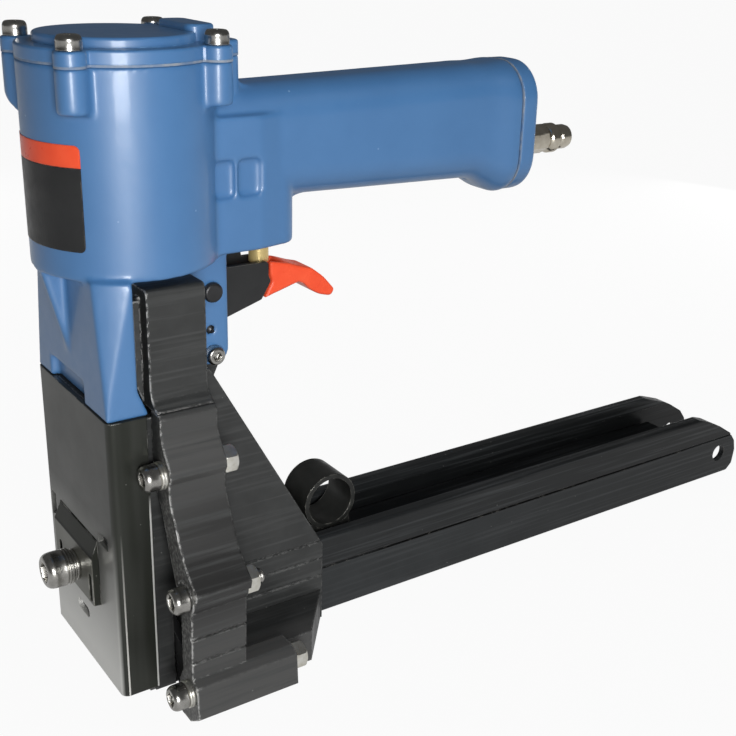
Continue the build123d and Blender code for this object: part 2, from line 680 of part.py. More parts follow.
foot_side = [(-48.2, 1.2), (-49.4, 0), (-56.6, 0), (-64.2, 5.2), (-63.2, 18.4), (-59.2, 20.6),
             (-51.6, 20.6), (-48.2, 15)]
with BuildPart() as side_foot_left:
    slab_x(foot_side, (wing_front, foot_rear), 0.6)
    slab_x([(-59.4, 18), (-51.6, 18), (-51.6, 54), (-60.6, 54), (-60.2, 40)], (wing_front, wing_rear))
    rod_x(6.3, (wing_front, wing_rear), (-middle_bolt[0], middle_bolt[1]))
    rod_x(3.05, (-20, 60), (-middle_bolt[0], middle_bolt[1]), mode=Mode.SUBTRACT)
    rod_x(3.05, (-20, 60), (-lower_bolt[0], lower_bolt[1]), mode=Mode.SUBTRACT)
    for z in (27.2, 37.6):
        bar((-20, 60), (-62, -59.0), (z, z + 1.0), mode=Mode.SUBTRACT)

with BuildPart() as foot_bracket_left:
    slab_z([(6.6, -frame_out), (6.6, -48.2), (52, -48.2), (71.5, -frame_out)], (0.4, 14.6))
    bar((6.6, 11.0), (-48.2, -frame_out), (14.6, 44.0))

with BuildPart() as side_bracket_right:
    mirror(side_bracket_left.part, about=Plane.XZ)

with BuildPart() as side_link_right:
    mirror(side_link_left.part, about=Plane.XZ)

with BuildPart() as side_foot_right:
    mirror(side_foot_left.part, about=Plane.XZ)

with BuildPart() as foot_bracket_right:
    mirror(foot_bracket_left.part, about=Plane.XZ)

short_bolt = socket_screw(3.0, wing_rear - wing_front + 9, 5.0, 6.0, 2.9)
long_bolt = socket_screw(3.0, foot_rear - wing_front + 9, 5.0, 6.0, 2.9)
nut_m6 = hex_nut(10, 6.0, 3.03)
washers = {upper_bolt: 2.4, lower_bolt: 2.2}
with BuildPart() as strut_bolts:
    for side in (-1, 1):
        for spot, bolt in ((upper_bolt, short_bolt), (middle_bolt, short_bolt), (lower_bolt, long_bolt)):
            under = washers.get(spot, 0.0)
            y, z = side * spot[0], spot[1]
            with Locations(Location((wing_front - under, y, z), (0, -90, 0))):
                add(bolt)

# Nuts behind the struts, washers under the heads in front
with BuildPart() as strut_nuts:
    for side in (-1, 1):
        for spot, under in washers.items():
            with BuildSketch(plane_x(wing_front - under)):
                with Locations((side * spot[0], spot[1])):
                    Circle(5.3)
                    Circle(3.03, mode=Mode.SUBTRACT)
            extrude(amount=under)
        for y, z in (upper_bolt, middle_bolt):
            with Locations(Location((wing_rear, side * y, z), (0, 90, 0))):
                add(nut_m6)
        with Locations(Location((foot_rear, side * lower_bolt[0], lower_bolt[1]), (0, 90, 0))):
            add(nut_m6)

# Depth gauge clamped on the front plate
gauge_front = -27.9
washer_t = 2.4
with BuildPart() as gauge_block:
    slab_y([(gauge_front, 37), (plate_front - 0.1, 36.6), (plate_front - 0.1, 64.8), (gauge_front, 57.6)],
           (-18.0, 21.0))
    rod_x(5.15, (-30, -20), (0, gauge_z), mode=Mode.SUBTRACT)
    slab_x([(-17, 38), (-13.6, 38), (-13.6, 50), (-17, 50)], (-30, -20), 1.4, mode=Mode.SUBTRACT)
    slab_x([(14, 38), (17.4, 38), (17.4, 50), (14, 50)], (-30, -20), 1.4, mode=Mode.SUBTRACT)

gauge_bolt = socket_screw(5.0, 20.3, 7.2, 8.0, 4.2)
with BuildPart() as gauge_screw:
    with Locations(Location((gauge_front - 2 * washer_t, 0, gauge_z), (0, -90, 0))):
        add(gauge_bolt)

with BuildPart() as gauge_washer:
    rod_x(7.2, (gauge_front - 2 * washer_t, gauge_front - washer_t), (0, gauge_z))
    rod_x(6.2, (gauge_front - washer_t, gauge_front), (0, gauge_z))
    rod_x(5.02, (gauge_front - 2 * washer_t, gauge_front), (0, gauge_z), mode=Mode.SUBTRACT)

with BuildPart() as gauge_nut:
    bar((-17.6, -12.6), (-7.6, 7.6), (gauge_z - 7.5, gauge_z + 7.5))
    rod_x(5.02, (-18, -12), (0, gauge_z), mode=Mode.SUBTRACT)

# Magazine: channel with turned-in lips, staple core, pusher with its finger ring
mag_end = [(mag_front, 0), (344, 0), (mag_rear - 1.6, 4), (mag_rear - 0.6, 12), (348, 18), (343.6, 23.6),
           (334, 29.6), (324.6, 34.3), (309, mag_top), (mag_front, mag_top)]
mag_section = [(-12.8, 33.4), (-mag_half + mag_wall, 33.4), (-mag_half + mag_wall, mag_wall),
               (mag_half - mag_wall, mag_wall), (mag_half - mag_wall, 33.4), (12.8, 33.4),
               (12.8, mag_top), (mag_half, mag_top), (mag_half, 0), (-mag_half, 0), (-mag_half, near_top),
               (-12.8, near_top)]
with BuildPart() as magazine_channel:
    with BuildSketch(plane_x(mag_front)) as channel:
        Polygon(*mag_section, align=None)
        fillet(channel.vertices().group_by(Axis.Y)[-1], 1.8)
        fillet(channel.vertices().filter_by_position(Axis.Y, near_top - 0.1, near_top + 0.1), 1.8)
        fillet(channel.vertices().group_by(Axis.Y)[0], 1.0)
    extrude(amount=mag_rear - mag_front)
    with BuildSketch(plane_y(mag_half + 1)) as end_face:
        Polygon(*mag_end, align=None)
        fillet(end_face.vertices().sort_by(Axis.X)[-8:], 2.4)
    extrude(amount=2 * mag_half + 2, mode=Mode.INTERSECT)
    bar((318, mag_rear + 1), (-mag_half + mag_wall, mag_half - mag_wall), (-1, mag_wall), mode=Mode.SUBTRACT)
    rod_y(4.6, (-30, 30), (335.7, 13), mode=Mode.SUBTRACT)
    for side in (-1, 1):
        groove_y = sorted((side * (mag_half - 0.7), side * (mag_half + 1)))
        bar((0, 345), groove_y, (21.9, 22.8), mode=Mode.SUBTRACT)

core_rear = 314.0
with BuildPart() as staple_core:
    bar((mag_front, core_rear), (-14.6, 14.6), (mag_wall, 24))
    bar((0, core_rear - 3), (-12, 12), (0, 21.5), mode=Mode.SUBTRACT)
    bar((mag_front + 3, mag_front + 8), (-12.5, 12.5), (10, 16))
    bar((24, 306), (-3, 3), (15, 30), mode=Mode.SUBTRACT)

with BuildPart() as pusher_block:
    bar((mag_front + 2, 97), (-14, 14), (24.3, 31))
    bar((ring_x - 10, ring_x + 10), (-9.2, 9.2), (31, 42))
    rod_y(ring_r, (-20, 20), (ring_x, ring_z), mode=Mode.SUBTRACT)
    bar((86, 92), (-2.6, 2.6), (9, 24.3))

with BuildPart() as pusher_ring:
    rod_y(ring_r, (-9.3, 9.3), (ring_x, ring_z))
    rod_y(finger_r, (-10, 10), (ring_x, ring_z), mode=Mode.SUBTRACT)

with BuildPart() as pusher_spring:
    rod_x(4.6, (18, 86), (0, 13))
    rod_x(3.6, (18, 86), (0, 13), mode=Mode.SUBTRACT)

save(body_casting.part, "body_casting")
save(cylinder_cap.part, "cylinder_cap")
save(cap_gasket.part, "cap_gasket")
save(cap_screws.part, "cap_screws")
save(cylinder_liner.part, "cylinder_liner")
save(liner_seals.part, "liner_seals")
save(piston_bumper.part, "piston_bumper")
save(rod_bush.part, "rod_bush")
save(rod_seal.part, "rod_seal")
save(piston.part, "piston")
save(piston_ring.part, "piston_ring")
save(piston_rod.part, "piston_rod")
save(piston_nut.part, "piston_nut")
save(head_valve.part, "head_valve")
save(head_valve_seal.part, "head_valve_seal")
save(head_valve_spring.part, "head_valve_spring")
save(end_cap_gasket.part, "end_cap_gasket")
save(handle_end_cap.part, "handle_end_cap")
save(end_cap_screws.part, "end_cap_screws")
save(air_plug.part, "air_plug")
save(valve_body.part, "valve_body")
save(valve_stem.part, "valve_stem")
save(valve_spring.part, "valve_spring")
save(trigger_body.part, "trigger_body")
save(trigger_tip.part, "trigger_tip")
save(trigger_rivet.part, "trigger_rivet")
save(trigger_pin.part, "trigger_pin")
save(lug_screw.part, "lug_screw")
save(front_plate.part, "front_plate")
save(nose_block.part, "nose_block")
save(anvil_carrier.part, "anvil_carrier")
save(anvil_pins.part, "anvil_pins")
save(anvil_left.part, "anvil_left")
save(anvil_right.part, "anvil_right")
save(roller_left.part, "roller_left")
save(roller_right.part, "roller_right")
save(cam_plate.part, "cam_plate")
save(crosshead.part, "crosshead")
save(crosshead_screw.part, "crosshead_screw")
save(driver_blade.part, "driver_blade")
save(main_frame.part, "main_frame")
save(side_bracket_left.part, "side_bracket_left")
save(side_bracket_right.part, "side_bracket_right")
save(side_link_left.part, "side_link_left")
save(side_link_right.part, "side_link_right")
save(side_foot_left.part, "side_foot_left")
save(side_foot_right.part, "side_foot_right")
save(foot_bracket_left.part, "foot_bracket_left")
save(foot_bracket_right.part, "foot_bracket_right")
save(strut_bolts.part, "strut_bolts")
save(strut_nuts.part, "strut_nuts")
save(gauge_block.part, "gauge_block")
save(gauge_screw.part, "gauge_screw")
save(gauge_washer.part, "gauge_washer")
save(gauge_nut.part, "gauge_nut")
save(magazine_channel.part, "magazine_channel")
save(staple_core.part, "staple_core")
save(pusher_block.part, "pusher_block")
save(pusher_ring.part, "pusher_ring")
save(pusher_spring.part, "pusher_spring")
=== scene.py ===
import bpy
import json
import numpy as np
from math import cos, sin, pi, radians, sqrt
from mathutils import Vector, Matrix


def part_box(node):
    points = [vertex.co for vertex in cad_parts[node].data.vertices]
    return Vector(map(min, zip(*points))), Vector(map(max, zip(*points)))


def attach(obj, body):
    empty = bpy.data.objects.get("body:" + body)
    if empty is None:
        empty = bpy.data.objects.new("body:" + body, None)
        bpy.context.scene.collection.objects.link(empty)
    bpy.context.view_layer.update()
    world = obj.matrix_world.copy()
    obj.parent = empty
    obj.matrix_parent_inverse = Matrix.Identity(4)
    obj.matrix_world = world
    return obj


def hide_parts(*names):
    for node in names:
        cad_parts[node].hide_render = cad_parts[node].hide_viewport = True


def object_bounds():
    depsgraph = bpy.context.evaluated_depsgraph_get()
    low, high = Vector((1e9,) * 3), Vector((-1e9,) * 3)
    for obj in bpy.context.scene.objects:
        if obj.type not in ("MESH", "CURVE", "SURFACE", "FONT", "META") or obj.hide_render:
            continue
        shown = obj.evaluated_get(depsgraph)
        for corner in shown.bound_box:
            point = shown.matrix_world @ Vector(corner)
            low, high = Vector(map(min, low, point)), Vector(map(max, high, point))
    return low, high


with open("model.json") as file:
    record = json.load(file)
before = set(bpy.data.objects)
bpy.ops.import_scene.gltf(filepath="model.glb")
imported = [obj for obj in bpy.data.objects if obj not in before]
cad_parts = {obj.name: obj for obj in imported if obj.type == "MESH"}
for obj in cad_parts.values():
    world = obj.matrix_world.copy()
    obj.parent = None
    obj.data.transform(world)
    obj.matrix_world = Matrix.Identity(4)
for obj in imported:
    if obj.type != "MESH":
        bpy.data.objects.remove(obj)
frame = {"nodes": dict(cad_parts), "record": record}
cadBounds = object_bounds()
nodes = frame["nodes"]
print("frame loaded,", len(nodes), "nodes")


# Camera where the photograph was taken from
cameraSetup = {"place": (-0.15896, -0.38788, 0.28646), "yaw": -34.716, "pitch": -21.332, "roll": 1.544,
               "lens": 56.327, "sensor": 36, "clip": 0.01}


def addCamera(setup):
    yaw, pitch, roll = (radians(setup[k]) for k in ("yaw", "pitch", "roll"))
    look = Vector((-sin(yaw) * cos(pitch), cos(yaw) * cos(pitch), sin(pitch)))
    side = Vector((cos(yaw), sin(yaw), 0))
    top = side.cross(look)
    turnedSide = cos(roll) * side + sin(roll) * top
    turnedTop = -sin(roll) * side + cos(roll) * top
    data = bpy.data.cameras.new("photoCamera")
    data.lens = setup["lens"]
    data.sensor_width = setup["sensor"]
    data.clip_start = setup["clip"]
    cam = bpy.data.objects.new("photoCamera", data)
    bpy.context.scene.collection.objects.link(cam)
    turn = Matrix((turnedSide, turnedTop, -look)).transposed().to_4x4()
    cam.matrix_world = Matrix.Translation(setup["place"]) @ turn
    bpy.context.scene.camera = cam


# Node helpers: noise on the object's own coordinates, ranges, products and mixes
def grainAt(tree, scale, detail, rough, stretch=(1, 1, 1)):
    place = tree.nodes.new("ShaderNodeTexCoord")
    turn = tree.nodes.new("ShaderNodeMapping")
    turn.inputs["Scale"].default_value = stretch
    tree.links.new(place.outputs["Object"], turn.inputs["Vector"])
    noise = tree.nodes.new("ShaderNodeTexNoise")
    noise.inputs["Scale"].default_value = scale
    noise.inputs["Detail"].default_value = detail
    noise.inputs["Roughness"].default_value = rough
    tree.links.new(turn.outputs["Vector"], noise.inputs["Vector"])
    return noise.outputs["Fac"]


def spread(tree, value, low, high, outLow=0.0, outHigh=1.0):
    node = tree.nodes.new("ShaderNodeMapRange")
    node.inputs["From Min"].default_value = low
    node.inputs["From Max"].default_value = high
    node.inputs["To Min"].default_value = outLow
    node.inputs["To Max"].default_value = outHigh
    tree.links.new(value, node.inputs["Value"])
    return node.outputs["Result"]


def reckon(tree, operation, *values):
    node = tree.nodes.new("ShaderNodeMath")
    node.operation = operation
    for socket, value in zip(node.inputs, values):
        if isinstance(value, float):
            socket.default_value = value
        else:
            tree.links.new(value, socket)
    return node.outputs[0]


def times(tree, a, b):
    return reckon(tree, "MULTIPLY", a, b)


def tint(tree, fac, first, second):
    node = tree.nodes.new("ShaderNodeMix")
    node.data_type = "RGBA"
    tree.links.new(fac, node.inputs["Factor"])
    for socket, colour in (("A", first), ("B", second)):
        target = [s for s in node.inputs if s.name == socket and s.type == "RGBA"][0]
        if isinstance(colour, tuple):
            target.default_value = (*colour, 1)
        else:
            tree.links.new(colour, target)
    return [s for s in node.outputs if s.type == "RGBA"][0]


def along(tree, axis):
    place = tree.nodes.new("ShaderNodeTexCoord")
    parts = tree.nodes.new("ShaderNodeSeparateXYZ")
    tree.links.new(place.outputs["Object"], parts.inputs["Vector"])
    return parts.outputs[axis]


def fromMiddle(tree):
    return reckon(tree, "ABSOLUTE", along(tree, "Y"))


def lineAt(tree, axis, place, half):
    return reckon(tree, "COMPARE", along(tree, axis), place, half)


# Rays that see the background itself: camera and glass fully, mirrors in part
def sightShare(tree, mirrored):
    rays = tree.nodes.new("ShaderNodeLightPath").outputs
    share = times(tree, rays["Is Glossy Ray"], mirrored)
    for kind in ("Is Camera Ray", "Is Transmission Ray"):
        share = reckon(tree, "MAXIMUM", share, rays[kind])
    return share


# One softbox lights the photographed side, one the top, and two the sides turned away from the camera
lightSetup = {
    "world": 0.04,      # light from all round
    "backdrop": 0.965,  # how pale it looks behind the object
    "mirrored": 0.06,   # share of that seen in the metal
    "aim": (0.05, 0, 0.14),
    "lamps": {
        "front": {"place": (-0.235, -0.74, 0.27), "size": (0.24, 0.34), "power": 6.0, "mirrored": True},
        "above": {"place": (0.50, -0.70, 1.05), "size": (0.5, 0.5), "power": 3.7, "mirrored": False},
        "far": {"place": (-0.05, 0.95, 0.20), "size": (0.4, 0.5), "power": 7.0, "mirrored": False},
        "rear": {"place": (0.98, 0.30, 0.26), "size": (0.5, 0.5), "power": 8.0, "mirrored": False}}}


def addLights(setup):
    world = bpy.data.worlds.new("paleStudio")
    bpy.context.scene.world = world
    world.use_nodes = True
    tree = world.node_tree
    back = tree.nodes["Background"]
    back.inputs["Color"].default_value = (1, 1, 1, 1)
    seen = sightShare(tree, setup["mirrored"])
    strength = spread(tree, seen, 0.0, 1.0, setup["world"], setup["backdrop"])
    tree.links.new(strength, back.inputs["Strength"])
    for name, lampSetup in setup["lamps"].items():
        lamp = bpy.data.lights.new(name + "Softbox", "AREA")
        lamp.shape = "RECTANGLE"
        lamp.size, lamp.size_y = lampSetup["size"]
        lamp.energy = lampSetup["power"]
        box = bpy.data.objects.new(name + "Softbox", lamp)
        bpy.context.scene.collection.objects.link(box)
        box.visible_glossy = lampSetup["mirrored"]
        place = Vector(lampSetup["place"])
        aim = Vector(setup["aim"]) - place
        box.matrix_world = Matrix.Translation(place) @ aim.to_track_quat("-Z", "Y").to_matrix().to_4x4()


floorSetup = {
    "half": 14.0, "drop": 0.0002, "colour": (0.28, 0.28, 0.28), "rough": 0.9,
    "white": 1.0,
    "lift": 0.95,     # share of that white in what the camera sees
    "mirrored": 0.5,  # and in what the metal mirrors
    "shadowUnderNose": {"X": (-0.003, 0.009), "Y": (0.0, 0.031)}}  # middle and half width of the painted shadow inside the nose, where the floor keeps no white lift


def addFloor(setup):
    h = setup["half"]
    mesh = bpy.data.meshes.new("paleFloor")
    mesh.from_pydata([(-h, -h, 0), (h, -h, 0), (h, h, 0), (-h, h, 0)], [], [(0, 1, 2, 3)])
    obj = bpy.data.objects.new("paleFloor", mesh)
    obj.location.z = cadBounds[0][2] - setup["drop"]
    bpy.context.scene.collection.objects.link(obj)
    mat = bpy.data.materials.new("paleFloor")
    mat.use_nodes = True
    tree = mat.node_tree
    shader = tree.nodes["Principled BSDF"]
    shader.inputs["Base Color"].default_value = (*setup["colour"], 1)
    shader.inputs["Roughness"].default_value = setup["rough"]
    glow = tree.nodes.new("ShaderNodeEmission")
    glow.inputs["Strength"].default_value = setup["white"]
    # Painted shadow: no white lift on the floor under the nose, where shade falls
    paintedShadow = times(tree, *(lineAt(tree, axis, *reach) for axis, reach in setup["shadowUnderNose"].items()))
    seen = sightShare(tree, setup["mirrored"])
    share = times(tree, seen, spread(tree, paintedShadow, 0.0, 1.0, setup["lift"], 0.0))
    mix = tree.nodes.new("ShaderNodeMixShader")
    tree.links.new(share, mix.inputs["Fac"])
    tree.links.new(shader.outputs[0], mix.inputs[1])
    tree.links.new(glow.outputs[0], mix.inputs[2])
    tree.links.new(mix.outputs[0], tree.nodes["Material Output"].inputs["Surface"])
    mesh.materials.append(mat)


bpy.context.scene.view_settings.view_transform = "Standard"
addCamera(cameraSetup)
addLights(lightSetup)
addFloor(floorSetup)
print("camera, light and floor set")


# Front plate as painted light: dark above with a painted sheen brightening it below, flanges in painted
# shade with streaked painted reflections and two painted highlight lines, gauge block with a lit front face
# and painted shade on its sides and top
def plateLightAndShade(tree, colour, f):
    s = f["plateLight"]
    # painted sheen: lighter towards the bottom
    low = spread(tree, along(tree, "Z"), *s["sheenFrom"])
    colour = tint(tree, low, colour, s["paintedSheen"])
    # flanges in painted shade, streaked with painted reflections
    reflectionStreaks = grainAt(tree, s["streakScale"], detail=2.0, rough=0.4, stretch=s["streakStretch"])
    flangeShade = tint(tree, spread(tree, reflectionStreaks, *s["streakSpread"]), s["flangeShade"], f["base"])
    # painted highlight line along the front bend, in the wear colour
    flangeShade = tint(tree, times(tree, lineAt(tree, "X", *s["frontHighlightLine"]), low), flangeShade, f["wear"])
    # painted highlight line along the rear edge of the flange, below a height
    highlightBelow = spread(tree, along(tree, "Z"), *s["rearHighlightTop"])
    flangeShade = tint(tree, times(tree, lineAt(tree, "X", *s["rearHighlightLine"]), highlightBelow), flangeShade, s["paintedSheen"])
    colour = tint(tree, spread(tree, fromMiddle(tree), *s["flangeFrom"]), colour, flangeShade)
    # gauge block: lit front face, painted shade on its sides and darker top
    gaugeLightAndShade = tint(tree, spread(tree, along(tree, "Z"), *s["gaugeTopFrom"]), s["gaugeFaceLit"], s["gaugeTopShade"])
    gaugeLightAndShade = tint(tree, spread(tree, along(tree, "X"), *s["gaugeFaceFrom"]), s["gaugeSideShade"], gaugeLightAndShade)
    return tint(tree, spread(tree, along(tree, "X"), *s["gaugeFrom"]), colour, gaugeLightAndShade)


def greyRamp(tree, value, stops, warmth):
    node = tree.nodes.new("ShaderNodeValToRGB")
    steps = node.color_ramp.elements
    while len(steps) < len(stops):
        steps.new(1.0)
    for step, (place, grey) in zip(steps, stops):
        step.position = place
        step.color = (grey, grey, grey * warmth, 1)
    tree.links.new(value, node.inputs["Fac"])
    return node.outputs["Color"]


# Side struts: greys that change with height as painted light and shade, front faces rubbed in specks and
# lightened, partly as painted light
def strutShadeAndWear(tree, colour, f):
    s = f["struts"]
    height = spread(tree, along(tree, "Z"), 0.0, s["height"])
    outer = spread(tree, fromMiddle(tree), *s["from"])
    # painted light and shade: the struts lighter and darker by height
    colour = tint(tree, outer, colour, greyRamp(tree, height, s["shadeByHeight"], s["warmth"]))
    specks = spread(tree, grainAt(tree, s["speckScale"], detail=3.0, rough=0.6), *s["speckSpread"])
    # front faces: rubbed specks, their lighter grey partly painted light on faces turned from the lamps
    facing = times(tree, spread(tree, along(tree, "X"), *s["frontFrom"]), outer)
    return tint(tree, times(tree, facing, specks), colour, s["front"])


# Magazine: darker towards the rear, darker above a groove along each wall, with painted shade along the
# groove
def wallColour(tree, colour, f):
    w = f["walls"]
    rear = times(tree, spread(tree, along(tree, "X"), *w["rearFrom"]), w["rearShare"])
    colour = tint(tree, rear, colour, w["rear"])
    upper = times(tree, spread(tree, along(tree, "Z"), *w["upperFrom"]), w["upperShare"])
    colour = tint(tree, upper, colour, w["groove"])
    # painted shade along the groove
    return tint(tree, lineAt(tree, "Z", *w["grooveShadeAt"]), colour, w["groove"])


# Painted shadow in the blind holes of the trigger lug
def holeShadeColour(tree, colour, f):
    p = f["holeShade"]
    across = times(tree, lineAt(tree, "X", p["x"], p["half"]), lineAt(tree, "Z", p["z"], p["half"]))
    inside = spread(tree, fromMiddle(tree), p["mouth"] + p["soft"], p["mouth"] - p["soft"])
    return tint(tree, times(tree, across, inside), colour, p["paintedShade"])


def edgeMask(tree, bevel, turn):
    geo = tree.nodes.new("ShaderNodeNewGeometry")
    dot = tree.nodes.new("ShaderNodeVectorMath")
    dot.operation = "DOT_PRODUCT"
    tree.links.new(bevel.outputs["Normal"], dot.inputs[0])
    tree.links.new(geo.outputs["Normal"], dot.inputs[1])
    return spread(tree, dot.outputs["Value"], *turn)


def dustMask(tree, f):
    place = tree.nodes.new("ShaderNodeTexCoord")
    cells = tree.nodes.new("ShaderNodeTexVoronoi")
    cells.inputs["Scale"].default_value = f["dustScale"]
    tree.links.new(place.outputs["Object"], cells.inputs["Vector"])
    near = spread(tree, cells.outputs["Distance"], *f["dustSize"])
    pick = tree.nodes.new("ShaderNodeSeparateColor")
    tree.links.new(cells.outputs["Color"], pick.inputs["Color"])
    rare = spread(tree, pick.outputs["Red"], *f["dustRare"])
    return times(tree, times(tree, near, rare), f["dustShare"])


def wearMask(tree, bevel, f):
    rub = grainAt(tree, f["wearScale"], detail=4.0, rough=0.65)
    worn = times(tree, edgeMask(tree, bevel, f["wearTurn"]), spread(tree, rub, *f["wearSpread"]))
    if "wearFront" in f:  # mostly on the leading edges
        worn = times(tree, worn, spread(tree, along(tree, "X"), *f["wearFront"], f["wearBehind"], 1.0))
    return worn


# What a finish has unless it says otherwise
plainFinish = {
    "metal": 0.0, "mottleScale": 60.0, "mottleSpread": (0.35, 0.65), "grainScale": 900.0,
    "stretch": (1, 1, 1), "streakSpread": (0.5, 0.68), "roughScale": 160.0, "roughSpread": (0.3, 0.7),
    "bump": 0.1, "bumpDepth": 0.0002,
    "wearScale": 240.0, "wearSpread": (0.45, 0.62), "wearTurn": (0.985, 0.86), "wearBehind": 0.12,
    "wearSamples": 4, "wearMetal": 0.0,
    "dustScale": 220.0, "dustSize": (0.11, 0.055), "dustRare": (0.94, 0.95), "dustShare": 0.4}
plainSockets = {"metal": "Metallic", "specular": "Specular IOR Level", "coat": "Coat Weight",
                "coatRough": "Coat Roughness"}
pieceMarks = {"plateLight": plateLightAndShade, "struts": strutShadeAndWear, "walls": wallColour, "holeShade": holeShadeColour}


def makeFinish(own):
    f = {**plainFinish, **own}
    mat = bpy.data.materials.new(f["name"])
    mat.use_nodes = True
    tree = mat.node_tree
    shader = tree.nodes["Principled BSDF"]
    bump = tree.nodes.new("ShaderNodeBump")
    for key, socket in plainSockets.items():
        if key in f:
            shader.inputs[socket].default_value = f[key]
    mottle = grainAt(tree, f["mottleScale"], detail=5.0, rough=0.6)
    colour = tint(tree, spread(tree, mottle, *f["mottleSpread"]), f["base"], f["shade"])
    fine = grainAt(tree, f["grainScale"], detail=3.0, rough=0.5, stretch=f["stretch"])
    for mark, markColour in pieceMarks.items():
        if mark in f:
            colour = markColour(tree, colour, f)
    if "streak" in f:  # die lines and drawing marks
        colour = tint(tree, spread(tree, fine, *f["streakSpread"]), colour, f["streak"])
    if "wear" in f:  # rubbed edges, which the bevel also softens
        bevel = tree.nodes.new("ShaderNodeBevel")
        bevel.samples = f["wearSamples"]
        bevel.inputs["Radius"].default_value = f["wearWidth"]
        tree.links.new(bevel.outputs["Normal"], bump.inputs["Normal"])
        worn = wearMask(tree, bevel, f)
        colour = tint(tree, worn, colour, f["wear"])
        if f["wearMetal"]:
            tree.links.new(times(tree, worn, f["wearMetal"]), shader.inputs["Metallic"])
    if "dust" in f:
        colour = tint(tree, dustMask(tree, f), colour, f["dust"])
    tree.links.new(colour, shader.inputs["Base Color"])
    roughField = grainAt(tree, f["roughScale"], detail=4.0, rough=0.6, stretch=f["stretch"])
    tree.links.new(spread(tree, roughField, *f["roughSpread"], *f["rough"]), shader.inputs["Roughness"])
    bump.inputs["Strength"].default_value = f["bump"]
    bump.inputs["Distance"].default_value = f["bumpDepth"]
    tree.links.new(fine, bump.inputs["Height"])
    tree.links.new(bump.outputs["Normal"], shader.inputs["Normal"])
    return mat


